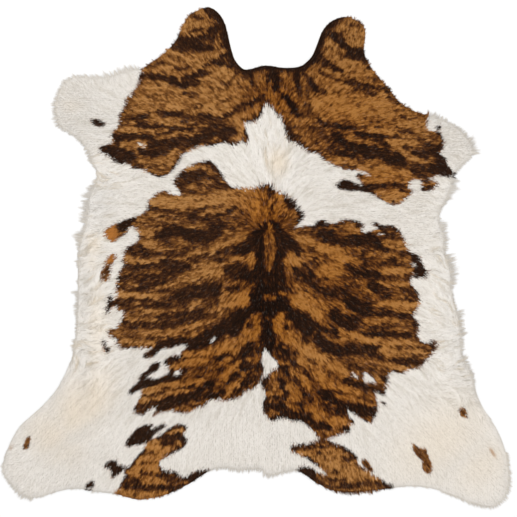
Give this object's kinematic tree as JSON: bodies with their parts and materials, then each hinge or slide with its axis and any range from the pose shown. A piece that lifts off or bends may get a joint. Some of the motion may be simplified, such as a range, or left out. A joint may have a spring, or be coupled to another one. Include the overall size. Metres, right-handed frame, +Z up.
{
  "type": "cowhide rug",
  "caption": "Whole brindle and white cowhide with the hair on, laid flat as a floor rug in the hide's natural outline of neck, forelegs, hind legs and rump.",
  "frame": {"origin": "middle of the hide's outline box, on the flat skin side that lies on the floor", "axes": "+Z is up, from the skin side to the coat of hair; +Y points to the neck and -Y to the rump; +X is to the right, seen from above with the neck up"},
  "size_m": [2.03, 2.002, 0.0102],
  "materials": {
    "hair_on_hide": "matte"
  },
  "bodies": {
    "root": {"hide": "hair_on_hide"}
  },
  "joints": []
}
